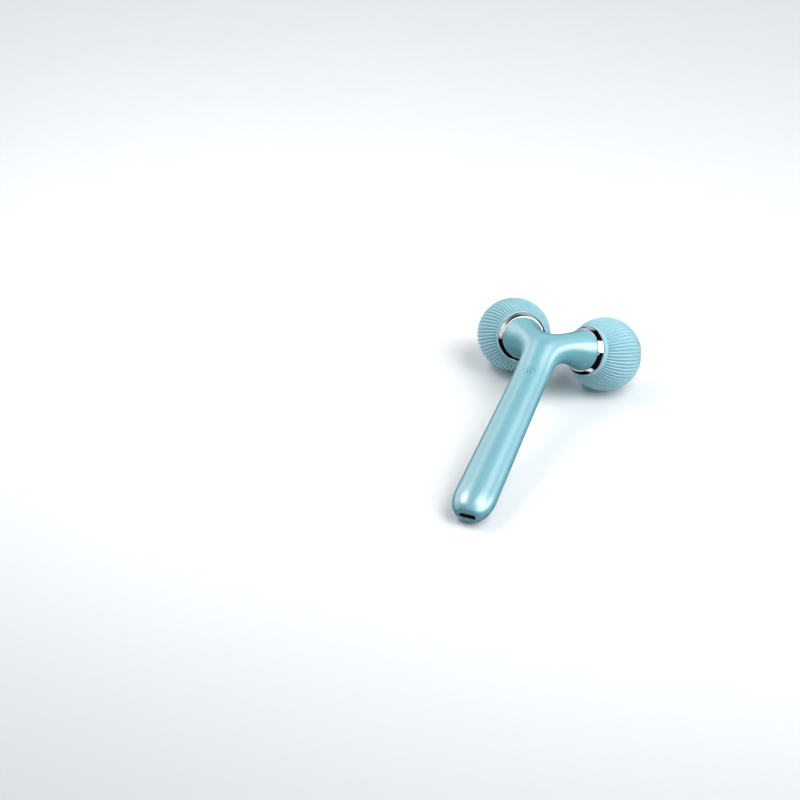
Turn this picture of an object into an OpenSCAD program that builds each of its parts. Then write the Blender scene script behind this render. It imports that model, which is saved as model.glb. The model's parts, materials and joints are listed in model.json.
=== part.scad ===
// Vibrating facial massage roller: a Y-shaped handle with two free-turning ribbed balls.
// Units are millimetres. It rests on Z = 0 on both balls and the back of the handle's end,
// +Z is up, +Y runs from the handle to the balls, and the button side faces up.

/* [Rollers] */
// Diameter of each ribbed ball over its ribs
ball_d = 40; // [38:0.5:41]
// Distance between the two ball centres
ball_pitch = 51.4; // [50.5:0.1:54]
// Outward turn of each axle from straight ahead, in degrees
splay = 27.7; // [26:0.1:29]
// Number of ribs around each ball
rib_count = 60; // [40:2:72]
// Height of a rib above the valley beside it
rib_height = 0.55; // [0.3:0.05:0.8]
// Turn of each rib between the ring and the pole, in degrees
rib_twist = 24; // [0:1:40]
// Diameter of the steel axle
axle_d = 6; // [5:0.1:6.4]

/* [Handle] */
// Distance from the neck corner to the flat face at the handle's end
handle_len = 138.5; // [132:0.5:146]
// Angle between the handle and the plane of the two axles
head_angle = 41.6; // [38:0.1:45]
// Distance from the neck corner to the line between the ball centres
neck_reach = 34.3; // [33.5:0.1:35]
// Half width of the handle at the button
neck_half_w = 9.4; // [9.2:0.1:10]
// Half width of the handle near its end
end_half_w = 11.3; // [11:0.1:12]
// Height of the button side over the centre line, as a share of the half width
front_share = 0.65; // [0.63:0.01:0.7]
// Depth of the back under the centre line, as a share of the half width
back_share = 0.79; // [0.77:0.01:0.82]
// Wall thickness of the two half shells
wall = 1.6; // [1.4:0.1:1.8]

/* [Arms] */
// Radius of each arm where it meets its chrome ring
arm_r = 11.2; // [11:0.1:11.6]
// Radius of each arm where it leaves the handle
arm_root_r = 8.1; // [7.8:0.1:8.4]

/* [Chrome rings] */
// Outer radius of the ring on its ball side
ring_ball_r = 13.2; // [12.8:0.1:13.4]
// Distance from the ball centre to the ring's ball side
ring_reach = 17.1; // [17:0.1:17.4]
// Height of the ring along the axle
ring_h = 3.1; // [2.6:0.1:3.2]

/* [Button] */
// Diameter of the power button
button_d = 6; // [5:0.1:6.4]
// Distance from the neck corner to the middle of the button
button_pos = 30.3; // [28:0.1:33]
// Travel of the button
button_travel = 0.5; // [0.3:0.05:0.6]

/* [Hidden] */

$fn = 64;
over = 0.5;          // how far a cutter runs past the face it cuts
run = 0.04;          // radial clearance of a running fit
gap = 0.3;           // clearance between pieces that move past each other

ball_r = ball_d / 2;
axle_r = axle_d / 2;
left = -1;
right = 1;

// ---- handle section along its length (s is the distance from the neck corner) ----
sides = 28;          // corners of one cross section
taper_from = 30;
taper_to = 117;
tip_len = 18.3;      // length of the rounded end
tip_power = 2.4;
tip_cut = 1.6;       // how much of the rounded end the flat face takes off
neck_top = -1;       // where the handle's own section closes between the arms
dome_len = 7;

function ramp(x) = max(0, min(1, x));
function smooth(x) = ramp(x) * ramp(x) * (3 - 2 * ramp(x));
function half_width(s) =
    neck_half_w + (end_half_w - neck_half_w) * max(-0.4, (s - taper_from) / (taper_to - taper_from));
function tip_scale(s) =
    pow(1 - pow(ramp((s - (handle_len + tip_cut - tip_len)) / tip_len), tip_power), 1 / tip_power);
function dome_scale(s) = sqrt(1 - pow(1 - ramp((s - neck_top) / dome_len), 2) * 0.9);

// one cross section of the handle, set in by a wall thickness
function section(s, inset) =
    let (k = tip_scale(s) * dome_scale(s), a = half_width(s) * k - inset,
         front = half_width(s) * front_share * k - inset,
         back = half_width(s) * back_share * k - inset)
    [for (j = [0 : sides - 1]) let (t = j * 360 / sides)
        [a * cos(t), -s, (t < 180 ? front : back) * sin(t)]];

outer_steps = [-1, 0.5, 3, 7, 30, 75, handle_len - 17, handle_len - 13, handle_len - 9.5,
    handle_len - 6.5, handle_len - 4, handle_len - 2, handle_len - 0.7, handle_len];
inner_steps = [1.5, 4, 9, 30, 75, handle_len - 17, handle_len - 11, handle_len - 7,
    handle_len - 4, handle_len - 1.8];
outer_rings = [for (s = outer_steps) section(s, 0)];
inner_rings = [for (s = inner_steps) section(s, wall)];

// ---- resting tilt, so that the balls and the handle's end touch the same plane ----
rest_p = [for (s = outer_steps) let (depth = half_width(s) * back_share * tip_scale(s))
    [neck_reach + s * cos(head_angle) - depth * sin(head_angle),
     s * sin(head_angle) + depth * cos(head_angle)]];
head_tilt = max([for (p = rest_p) atan2(p[1], p[0]) - asin(ball_r / norm(p))]);
handle_tilt = head_angle - head_tilt;
end_y = min([for (r = outer_rings) for (p = r) p[1] * cos(handle_tilt) - p[2] * sin(handle_tilt)]);
reach_y = ball_r + neck_reach * cos(head_tilt) - end_y;
ball_y = reach_y / 2 - ball_r;

// ---- arms (in the frame of the axle plane) ----
arm_sides = 28;
arm_steps = 10;
root_s = 16.8;        // where an arm leaves the handle's centre line
root_pull = 12.7;     // tangent length at the root
ring_pull = 20.2;     // tangent length at the ring
flare_from = 0.59;
flare_power = 1.96;
root_height = 0.7;    // height of an arm at its root, as a share of its width
round_from = 0.5;     // where along the arm its section has become round
arm_len_to_ring = ring_reach + ring_h;
fwd = [sin(splay), cos(splay), 0];
handle_dir = [0, cos(head_angle), sin(head_angle)];
handle_up = [0, -sin(head_angle), cos(head_angle)];
arm_root = [0, -neck_reach, 0] - root_s * handle_dir;
arm_end = [ball_pitch / 2, 0, 0] - arm_len_to_ring * fwd;
arm_pts = [arm_root, arm_root + root_pull * handle_dir, arm_end - ring_pull * fwd, arm_end];

function unit(v) = v / norm(v);
function curve(p, t) = pow(1 - t, 3) * p[0] + 3 * t * pow(1 - t, 2) * p[1]
    + 3 * t * t * (1 - t) * p[2] + pow(t, 3) * p[3];
function slope(p, t) = unit(pow(1 - t, 2) * (p[1] - p[0]) + 2 * t * (1 - t) * (p[2] - p[1])
    + t * t * (p[3] - p[2]));
function arm_radius(t) = arm_root_r
    + (arm_r - arm_root_r) * pow(smooth((t - flare_from) / (1 - flare_from)), flare_power);
function arm_height(t) = root_height + (1 - root_height) * smooth(t / round_from);
function arm_section(t, inset) =
    let (c = curve(arm_pts, t), d = slope(arm_pts, t),
         up = unit(handle_up - (handle_up * d) * d), across = cross(up, d),
         wide = arm_radius(t) - inset, high = arm_radius(t) * arm_height(t) - inset)
    [for (j = [0 : arm_sides - 1]) let (w = j * 360 / arm_sides)
        c + wide * cos(w) * across + high * sin(w) * up];
root_hollow = 0.08;   // where the hollow of an arm starts and stops along its curve
ring_hollow = 0.84;
arm_rings = [for (k = [0 : arm_steps]) arm_section(k / arm_steps, 0)];
hollow_steps = 6;
hollow_rings = [for (k = [0 : hollow_steps])
    arm_section(root_hollow + (ring_hollow - root_hollow) * k / hollow_steps, wall)];

// ---- parting line between the two shells, seen from the side ----
line_steps = 8;
far = 200;
parting_line = concat(
    [[-neck_reach, 0] - far * [handle_dir[1], handle_dir[2]]],
    [for (k = [0 : line_steps]) let (c = curve(arm_pts, k / line_steps)) [c[1], c[2]]],
    [[far / 4, 0]]);

// ---- pieces along each axle (measured from the ball centre, positive to the outer pole) ----
ring_top = -ring_reach;
ring_base = ring_top - ring_h;
plug_r = 8.4;
spigot_len = 2.6;
plug_head = 3;
plug_len = 10;
plug_stem_r = 5.4;
seal_r = 7;
seal_top = ring_top - 0.4;
washer_h = 0.9;
washer_r = 6;
bush_base = ring_top + 0.9;
flange_h = 1;
bush_r = 4.5;
bush_len = 6;
hub_r = 7;
hub_top = 6.5;
core_r = ball_r - 2.5;
core_wall = 2;
core_mouth = -13.6;
lip_z = ring_top + gap;
lip_r = ring_ball_r + 0.2;
skin_mouth_r = 11;
skin_base = -14.6;
axle_tip = 10.6;
clip_z = hub_top + flange_h + gap + washer_h;
clip_h = 0.8;
groove_r = axle_r - 0.7;

// ---- ribbed skin ----
rib_steps = [5, 14, 25, 37, 49, 61, 73, 85, 97, 109, 120, 129, 136];
rib_fade_in = 16;     // polar angle where the ribs reach full height
rib_fade_out = 20;    // polar angle over which they fade towards the ring
rib_end = 137;

// ---- inside the handle (z is the height over the handle's centre line) ----
board_top = -1.4;
board_t = 1;
board_from = 23;
board_to = 66;
board_half_w = 6.2;
cell_r = 5;
cell_len = 44;
cell_from = 70;
cell_z = -0.8;
port_z = -0.8;
bezel_t = 1.8;
bezel_half_w = 5.7;
bezel_half_h = 2.8;
socket_w = 8.94;
socket_h = 3.26;
socket_len = 7.4;
socket_wall = 0.3;
socket_front = handle_len - 0.6;
tongue_w = 6.7;
tongue_t = 0.7;
charge_top = port_z - socket_h / 2;
charge_t = 0.8;
motor_r = 3.5;
motor_from = 9;
motor_len = 11;
motor_z = -0.7;
motor_shaft_r = 0.5;
weight_r = 2.8;
weight_len = 3.6;
weight_from = 4.2;
sleeve_r = 4.3;
button_top = half_width(button_pos) * front_share;
button_r = button_d / 2;
button_gap = 0.1;
crown_r = pow(half_width(button_pos), 2) / button_top;
flange_r = 3.7;
flange_z = 2.3;
flange_t = 0.7;
switch_w = 5.2;
switch_h = 1.6;
plunger_r = 1.2;
plunger_len = 1.4;
stem_r = 1.5;
lead_r = 0.5;

shell_colour = "#8CC6D2";
skin_colour = "#A3D3DC";
chrome_colour = "#D8DCDE";
steel_colour = "#A9ADB0";
dark_colour = "#3A3D40";
board_colour = "#2F6B46";
plastic_colour = "#E4E6E4";
brass_colour = "#C9A552";
foil_colour = "#4B6FA8";

// ---- placing ----
module at_head() {
    translate([0, ball_y, ball_r]) rotate([-head_tilt, 0, 0]) children();
}
module at_handle() {
    at_head() translate([0, -neck_reach, 0]) rotate([head_angle, 0, 0]) children();
}
// the axle of one ball: z = 0 at the ball centre, +z to the outer pole
module at_axle(side) {
    at_head() translate([side * ball_pitch / 2, 0, 0]) rotate([0, 0, -side * splay])
        rotate([-90, 0, 0]) children();
}
// a round piece that lies along the handle, from a distance s to s + length
module along(s, length, r, z = 0, x = 0) {
    translate([x, -s, z]) rotate([90, 0, 0]) cylinder(r = r, h = length);
}
// a flat piece that lies along the handle
module slab(s, length, half_w, z, thick, x = 0) {
    translate([x - half_w, -s - length, z]) cube([2 * half_w, length, thick]);
}
module tube(r_out, r_in, z, h) {
    difference() {
        translate([0, 0, z]) cylinder(r = r_out, h = h);
        translate([0, 0, z - over]) cylinder(r = r_in, h = h + 2 * over);
    }
}
// a bar with round ends that lies along the handle
module round_bar(s, length, half_w, half_h, z) {
    slab(s, length, half_w - half_h, z - half_h, 2 * half_h);
    for (side = [left, right])
        along(s, length, half_h, z, side * (half_w - half_h));
}

// a closed skin over a list of cross sections
module loft(rings) {
    n = len(rings[0]);
    last = len(rings) - 1;
    polyhedron(
        points = [for (r = rings) each r],
        faces = concat(
            [[for (j = [0 : n - 1]) j]],
            [for (k = [0 : last - 1]) for (j = [0 : n - 1])
                [k * n + j, (k + 1) * n + j, (k + 1) * n + (j + 1) % n, k * n + (j + 1) % n]],
            [[for (j = [n - 1 : -1 : 0]) last * n + j]]),
        convexity = 6);
}

// ---- shells ----
module arm_skin(rings) {
    loft(rings);
    mirror([1, 0, 0]) loft(rings);
}
module body_outer() {
    at_handle() loft(outer_rings);
    at_head() arm_skin(arm_rings);
}
module body_inner() {
    at_handle() loft(inner_rings);
    at_head() arm_skin(hollow_rings);
}
module above_parting_line() {
    at_head() rotate([90, 0, 90]) linear_extrude(height = 120, center = true)
        polygon(concat(parting_line, [[far / 4, far], [-far, far]]));
}
module arm_bores() {
    for (side = [left, right])
        at_axle(side) {
            translate([0, 0, ring_base - spigot_len - plug_head])
                cylinder(r = plug_r, h = spigot_len + plug_head + over);
            translate([0, 0, ring_base - spigot_len - plug_len])
                cylinder(r = plug_stem_r, h = plug_len);
        }
}
module port_opening() {
    at_handle() round_bar(handle_len - bezel_t, bezel_t + over, bezel_half_w, bezel_half_h, port_z);
}
module front_shell() {
    color(shell_colour) difference() {
        intersection() {
            body_outer();
            above_parting_line();
        }
        body_inner();
        arm_bores();
        port_opening();
        at_handle() translate([0, -button_pos, 0])
            cylinder(r = button_r + button_gap, h = 2 * button_top);
    }
}
module rear_shell() {
    color(shell_colour) difference() {
        body_outer();
        above_parting_line();
        body_inner();
        arm_bores();
        port_opening();
    }
}

// ---- charging port at the handle's end ----
module port_bezel() {
    color(shell_colour) at_handle() difference() {
        round_bar(handle_len - bezel_t, bezel_t, bezel_half_w, bezel_half_h, port_z);
        round_bar(handle_len - bezel_t - over, bezel_t + 2 * over, socket_w / 2, socket_h / 2, port_z);
    }
}
module usb_socket_shell() {
    color(steel_colour) at_handle() difference() {
        round_bar(socket_front - socket_len, socket_len, socket_w / 2, socket_h / 2, port_z);
        round_bar(socket_front - socket_len + 1, socket_len, socket_w / 2 - socket_wall,
            socket_h / 2 - socket_wall, port_z);
    }
}
module usb_tongue() {
    color(dark_colour) at_handle()
        slab(socket_front - socket_len + 1, 5, tongue_w / 2, port_z - tongue_t / 2, tongue_t);
}
module charge_board() {
    color(board_colour) at_handle()
        slab(cell_from + cell_len + 2.5, 19.5, 4.6, charge_top - charge_t, charge_t);
}
module charge_chip() {
    color(dark_colour) at_handle() slab(cell_from + cell_len + 5, 4, 2, charge_top, 1);
}

// ---- power and control ----
module battery_cell() {
    color(foil_colour) at_handle() {
        along(cell_from + 0.8, cell_len - 0.8, cell_r, cell_z);
        along(cell_from, 0.8, 1.6, cell_z);
    }
}
module battery_leads() {
    color("#B23A34") at_handle()
        along(board_to - 1, cell_from - board_to + 1, lead_r, board_top + lead_r, 1.1);
    color(dark_colour) at_handle()
        along(cell_from + cell_len, 3, lead_r, charge_top + lead_r, 1.1);
}
module chassis() {
    color(plastic_colour) at_handle() {
        slab(board_from, board_to - board_from, 4.2, -4.2, 0.8);
        for (s = [board_from + 1.5, board_to - 4.5])
            slab(s, 3, 3.2, -3.6, 3.6 + board_top - board_t);
        slab(board_to, cell_len + 8, 1.5, -6.25, 0.45);
        slab(board_to - 1, 3, 1.5, -6.2, 2.8);
        for (s = [cell_from + 5, cell_from + cell_len - 9])
            difference() {
                along(s, 4, cell_r + 0.6, cell_z);
                along(s - over, 4 + 2 * over, cell_r, cell_z);
                slab(s - over, 4 + 2 * over, 8, cell_z, 8);
            }
        slab(cell_from + cell_len + 2, 3, 2.2, -6.2, 6.2 + charge_top - charge_t);
    }
}
screw_spots = [board_from + 3, board_to - 3];
module main_board() {
    color(board_colour) at_handle() difference() {
        slab(board_from, board_to - board_from, board_half_w, board_top - board_t, board_t);
        for (s = screw_spots)
            translate([0, -s, board_top - board_t - over]) cylinder(r = 0.8, h = board_t + 2 * over);
    }
}
module board_screws() {
    color(steel_colour) at_handle() for (s = screw_spots) translate([0, -s, 0]) {
        translate([0, 0, board_top - board_t]) cylinder(r = 0.8, h = board_t);
        translate([0, 0, board_top]) cylinder(r = 1.4, h = 0.7);
    }
}
module control_chip() {
    color(dark_colour) at_handle() slab(42, 5, 2.5, board_top, 0.9);
}
module power_inductor() {
    color("#55585B") at_handle() slab(52, 4, 2, board_top, 1.8);
}

// ---- power button ----
module switch_base() {
    color(dark_colour) at_handle() difference() {
        slab(button_pos - switch_w / 2, switch_w, switch_w / 2, board_top, switch_h);
        translate([0, -button_pos, board_top + 0.2]) cylinder(r = plunger_r + run, h = switch_h);
    }
}
module switch_plunger() {
    color(brass_colour) at_handle() translate([0, -button_pos, flange_z - plunger_len - 1.2])
        cylinder(r = plunger_r, h = plunger_len);
}
module button_cap() {
    color(shell_colour) at_handle() {
        intersection() {
            translate([0, -button_pos, flange_z]) cylinder(r = button_r, h = button_top);
            along(button_pos - 2 * button_r, 4 * button_r, crown_r, button_top - crown_r);
        }
        translate([0, -button_pos, flange_z]) cylinder(r = flange_r, h = flange_t);
        translate([0, -button_pos, flange_z - 1.2]) cylinder(r = stem_r, h = 1.2 + flange_t);
    }
}

// ---- vibration motor ----
module motor_can() {
    color(chrome_colour) at_handle() difference() {
        along(motor_from, motor_len, motor_r, motor_z);
        along(motor_from - over, motor_len - 2 + over, motor_shaft_r + run, motor_z);
    }
}
module motor_sleeve() {
    color(dark_colour) at_handle() difference() {
        along(motor_from + 1, motor_len - 2, sleeve_r, motor_z);
        along(motor_from, motor_len, motor_r, motor_z);
    }
}
module motor_leads() {
    color("#B23A34") at_handle() for (x = [-1.1, 1.1])
        along(motor_from + motor_len, board_from - motor_from - motor_len + 1, lead_r,
            board_top + lead_r, x);
}
module motor_shaft() {
    color(steel_colour) at_handle()
        along(weight_from, motor_from - weight_from + 6, motor_shaft_r, motor_z);
}
module motor_weight() {
    color(brass_colour) at_handle() difference() {
        along(weight_from, weight_len, weight_r, motor_z);
        along(weight_from - over, weight_len + 2 * over, motor_shaft_r, motor_z);
        slab(weight_from - over, weight_len + 2 * over, 2 * weight_r, motor_z + 1, 2 * weight_r);
    }
}

// ---- pieces on each axle ----
module arm_plug(side) {
    color(plastic_colour) at_axle(side) {
        tube(plug_r, axle_r, ring_base - spigot_len - plug_head, plug_head);
        tube(plug_stem_r, axle_r, ring_base - spigot_len - plug_len, plug_len);
    }
}
module chrome_ring(side) {
    color(chrome_colour) at_axle(side) rotate_extrude($fn = 96) polygon([
        [seal_r, ring_base - spigot_len], [plug_r, ring_base - spigot_len], [plug_r, ring_base],
        [arm_r + 0.15, ring_base], [arm_r + 0.2, ring_base + 0.35],
        [ring_ball_r, ring_top - 0.3], [ring_ball_r - 0.3, ring_top], [seal_r, ring_top]]);
}
module shaft_seal(side) {
    color(dark_colour) at_axle(side)
        tube(seal_r, axle_r, ring_base - spigot_len, seal_top - ring_base + spigot_len);
}
module axle(side) {
    color(steel_colour) at_axle(side) difference() {
        translate([0, 0, ring_base - spigot_len - plug_len])
            cylinder(r = axle_r, h = axle_tip - ring_base + spigot_len + plug_len);
        tube(axle_r + over, groove_r, clip_z, clip_h);
    }
}
module thrust_washer(side) {
    color(steel_colour) at_axle(side) {
        tube(washer_r, axle_r, seal_top, bush_base - gap - seal_top);
        tube(washer_r, axle_r, clip_z - washer_h, washer_h);
    }
}
module axle_clip(side) {
    color(steel_colour) at_axle(side) difference() {
        tube(axle_r + 1.3, groove_r, clip_z, clip_h);
        translate([0, -1.2, clip_z - over]) cube([2 * axle_r + 2, 2.4, clip_h + 2 * over]);
    }
}
module flanged_bush(side, base, flange_base) {
    color(plastic_colour) at_axle(side) difference() {
        union() {
            translate([0, 0, base]) cylinder(r = bush_r, h = bush_len);
            translate([0, 0, flange_base]) cylinder(r = washer_r, h = flange_h);
        }
        translate([0, 0, base - 2]) cylinder(r = axle_r + run, h = bush_len + 4);
    }
}
module inner_bush(side) {
    flanged_bush(side, bush_base + flange_h, bush_base);
}
module outer_bush(side) {
    flanged_bush(side, hub_top - bush_len, hub_top);
}
module core_half_inner(side) {
    color(plastic_colour) at_axle(side) difference() {
        union() {
            difference() {
                sphere(r = core_r);
                sphere(r = core_r - core_wall);
                translate([0, 0, core_r]) cube(2 * core_r, center = true);
                translate([0, 0, core_mouth - core_r]) cube(2 * core_r, center = true);
            }
            translate([0, 0, core_mouth]) cylinder(r = skin_mouth_r - 0.4, h = 1.6);
            translate([0, 0, bush_base + flange_h]) cylinder(r = hub_r, h = hub_top - bush_base - flange_h);
        }
        translate([0, 0, bush_base]) cylinder(r = bush_r, h = hub_top - bush_base + over);
    }
}
module core_half_outer(side) {
    color(plastic_colour) at_axle(side) {
        difference() {
            sphere(r = core_r);
            sphere(r = core_r - core_wall);
            translate([0, 0, -core_r]) cube(2 * core_r, center = true);
        }
        tube(core_r - core_wall - 0.1, core_r - core_wall - 1.2, -1.5, 4);
    }
}

// distance from the axle of the skin at a polar angle, on a rib or in a valley
function rib_depth(angle) = rib_height * smooth((angle - 3) / rib_fade_in)
    * smooth((rib_end - angle) / rib_fade_out);
function skin_ring(angle) = [for (j = [0 : 2 * rib_count - 1])
    let (r = ball_r - (j % 2) * rib_depth(angle), turn = j * 180 / rib_count + rib_twist * angle / rib_end)
    [r * sin(angle) * cos(turn), r * sin(angle) * sin(turn), r * cos(angle)]];
function plain_ring(r, z) = [for (j = [0 : 2 * rib_count - 1])
    let (turn = j * 180 / rib_count + rib_twist) [r * cos(turn), r * sin(turn), z]];
skin_rings = concat([plain_ring(lip_r - 0.4, lip_z), plain_ring(lip_r, lip_z + 0.4)],
    [for (k = [len(rib_steps) - 1 : -1 : 0]) skin_ring(rib_steps[k])]);
module ribbed_skin(side) {
    color(skin_colour) at_axle(side) difference() {
        loft(skin_rings);
        sphere(r = core_r);
        translate([0, 0, lip_z - over]) cylinder(r = skin_mouth_r, h = 4);
    }
}

front_shell();
rear_shell();
port_bezel();
usb_socket_shell();
usb_tongue();
charge_board();
charge_chip();
battery_cell();
battery_leads();
chassis();
main_board();
board_screws();
control_chip();
power_inductor();
switch_base();
switch_plunger();
button_cap();
motor_can();
motor_sleeve();
motor_leads();
motor_shaft();
motor_weight();
arm_plug(left);  // left_arm_plug
arm_plug(right);  // right_arm_plug
chrome_ring(left);  // left_chrome_ring
chrome_ring(right);  // right_chrome_ring
shaft_seal(left);  // left_shaft_seal
shaft_seal(right);  // right_shaft_seal
axle(left);  // left_axle
axle(right);  // right_axle
thrust_washer(left);  // left_thrust_washer
thrust_washer(right);  // right_thrust_washer
axle_clip(left);  // left_axle_clip
axle_clip(right);  // right_axle_clip
inner_bush(left);  // left_inner_bush
inner_bush(right);  // right_inner_bush
outer_bush(left);  // left_outer_bush
outer_bush(right);  // right_outer_bush
core_half_inner(left);  // left_core_half_inner
core_half_inner(right);  // right_core_half_inner
core_half_outer(left);  // left_core_half_outer
core_half_outer(right);  // right_core_half_outer
ribbed_skin(left);  // left_ribbed_skin
ribbed_skin(right);  // right_ribbed_skin
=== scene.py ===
import json
import math
import bmesh
import bpy
import numpy as np
from mathutils import Matrix, Vector


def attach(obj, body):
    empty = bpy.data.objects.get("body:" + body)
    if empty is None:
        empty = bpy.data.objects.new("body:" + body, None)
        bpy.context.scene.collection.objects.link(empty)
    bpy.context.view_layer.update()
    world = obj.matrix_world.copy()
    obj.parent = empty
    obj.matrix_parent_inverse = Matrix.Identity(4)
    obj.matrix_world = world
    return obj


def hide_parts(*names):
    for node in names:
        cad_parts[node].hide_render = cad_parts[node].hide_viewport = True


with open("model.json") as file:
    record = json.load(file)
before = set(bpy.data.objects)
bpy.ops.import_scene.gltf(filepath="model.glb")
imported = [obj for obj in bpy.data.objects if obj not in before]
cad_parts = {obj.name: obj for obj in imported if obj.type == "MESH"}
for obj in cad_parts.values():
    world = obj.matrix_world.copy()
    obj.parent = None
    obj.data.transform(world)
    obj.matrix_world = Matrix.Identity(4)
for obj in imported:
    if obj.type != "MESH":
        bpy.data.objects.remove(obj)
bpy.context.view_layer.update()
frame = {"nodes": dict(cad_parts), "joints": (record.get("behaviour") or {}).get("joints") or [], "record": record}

MM = 0.001

# ---------------------------------------------------------------- the part's own frame, from its joints
joints = {j["name"]: j for j in frame["joints"]}
ball = {side: np.array(joints[f"{side}_roller_spin"]["pos_m"]) / MM for side in ("left", "right")}
pole = {side: np.array(joints[f"{side}_roller_spin"]["axis"]) for side in ("left", "right")}
up = -np.array(joints["button_press"]["axis"])
up /= np.linalg.norm(up)
along = np.array([0.0, up[2], -up[1]])          # from the handle's end to the neck
side_axis = np.array([1.0, 0.0, 0.0])
forward = pole["left"] + pole["right"]
forward /= np.linalg.norm(forward)
NECK_REACH = 34.3
corner = (ball["left"] + ball["right"]) / 2 - NECK_REACH * forward
HANDLE = np.stack([side_axis, along, up])       # rows: the handle frame's axes


def to_handle(p):
    return (np.asarray(p, float) - corner) @ HANDLE.T


def to_row(p):
    return (np.asarray(p, float) @ HANDLE + corner) * MM


def dir_to_row(v):
    return np.asarray(v, float) @ HANDLE


def dir_to_handle(v):
    return np.asarray(v, float) @ HANDLE.T


ball_h = {s: to_handle(ball[s]) for s in ball}
pole_h = {s: dir_to_handle(pole[s]) for s in pole}

# ---------------------------------------------------------------- sizes (mm)
HANDLE_LEN = 138.5                              # from the neck corner to the flat end face
TIP_VIRTUAL = 140.1                             # where the rounded end would close without its flat face
TIP_LEN, TIP_POWER = 18.3, 2.4
NECK_HALF, END_HALF = 9.35, 11.17               # half widths near the neck and near the end
TAPER_FROM, TAPER_LEN = 30, 87
FRONT_SHARE, BACK_SHARE = 0.642, 0.79           # height over and depth under the middle, by half width
FORK_S, FORK_PULL, RING_PULL = 26.9, 23.7, 23.1 # where the arms part, and the pulls of their curves
ARM_NARROW, ARM_R = 8.09, 11.5                  # radius at the narrowest place and at the curve's end
NARROW_BY, FLARE_FROM, FLARE_POWER, ROUND_BY = 0.45, 0.432, 3.27, 0.82  # shares of the curve's length
BLEND, BLEND_FADE = 8.0, 24.5                   # rounding between the arms, and where it sets in
CURVE_PAST_RING = 3.0
RING_TOP, RING_BASE = -17.1, -20.2              # along the axle from the ball's centre
WALL = 1.6
SEAM_GROOVE = 0.03
BUTTON_S, BUTTON_R, BUTTON_GAP = 30.3, 3.0, 0.1
PORT_Z = -0.8
BEZEL_W, BEZEL_H, BEZEL_T = 5.7, 2.8, 1.8       # half width, half height, thickness
MOUTH_W, MOUTH_H = 4.47, 1.63                   # half sizes of the bezel's opening
BEZEL_ROUND, MOUTH_ROUND = 0.25, 0.35
PINS_PER_ROW, PIN_PITCH, PIN_HALF = 8, 0.72, 0.17
PIN_FROM, PIN_TO = 133.9, 137.4                 # from the neck corner
PIN_ROW_Z, PIN_THICK_HALF = 0.36, 0.03
STEP = 0.5                                      # cell size of the body's mesh
MESH_LOW, MESH_HIGH = [-30.25, -139.25, -27.25], [30.25, 24.75, 12.25]


# ---------------------------------------------------------------- the body as one smooth field
def smooth(x):
    x = np.clip(x, 0, 1)
    return x * x * (3 - 2 * x)


def unit(v):
    return v / np.maximum(np.linalg.norm(v, axis=-1, keepdims=True), 1e-12)


def ellipse_field(p, q, a, b):
    rho = np.sqrt((p / a) ** 2 + (q / b) ** 2 + 1e-12)
    g = np.sqrt((p / a ** 2) ** 2 + (q / b ** 2) ** 2) + 1e-12
    return (rho - 1) * rho / g


def blend_min(a, b, k):
    h = np.clip(0.5 + 0.5 * (b - a) / k, 0, 1)
    return b * (1 - h) + a * h - k * h * (1 - h)


def blend_max(a, b, k):
    return -blend_min(-a, -b, k)


def half_width(s):
    return NECK_HALF + (END_HALF - NECK_HALF) * np.maximum(-0.4, (s - TAPER_FROM) / TAPER_LEN)


def handle_field(q):
    s = -q[:, 1]
    z = np.clip((s - (TIP_VIRTUAL - TIP_LEN)) / TIP_LEN, 0, 0.99999)
    cap = (1 - z ** TIP_POWER) ** (1 / TIP_POWER)
    wide = np.maximum(half_width(s) * cap, 0.05)
    high = wide * np.where(q[:, 2] > 0, FRONT_SHARE, BACK_SHARE)
    f = ellipse_field(q[:, 0], q[:, 2], wide, high)
    return np.where(s > TIP_VIRTUAL, np.maximum(f, 1.0), f)


def arm_curve(side):
    end = ball_h[side] + (RING_BASE + CURVE_PAST_RING) * pole_h[side]
    start = np.array([0, -FORK_S, 0.0])
    return np.array([start, start + [0, FORK_PULL, 0], end - RING_PULL * pole_h[side], end])


def curve_at(c, t):
    t = t[:, None]
    return (1 - t) ** 3 * c[0] + 3 * t * (1 - t) ** 2 * c[1] + 3 * t * t * (1 - t) * c[2] + t ** 3 * c[3]


def slope_at(c, t):
    t = t[:, None]
    return 3 * ((1 - t) ** 2 * (c[1] - c[0]) + 2 * t * (1 - t) * (c[2] - c[1]) + t * t * (c[3] - c[2]))


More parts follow.
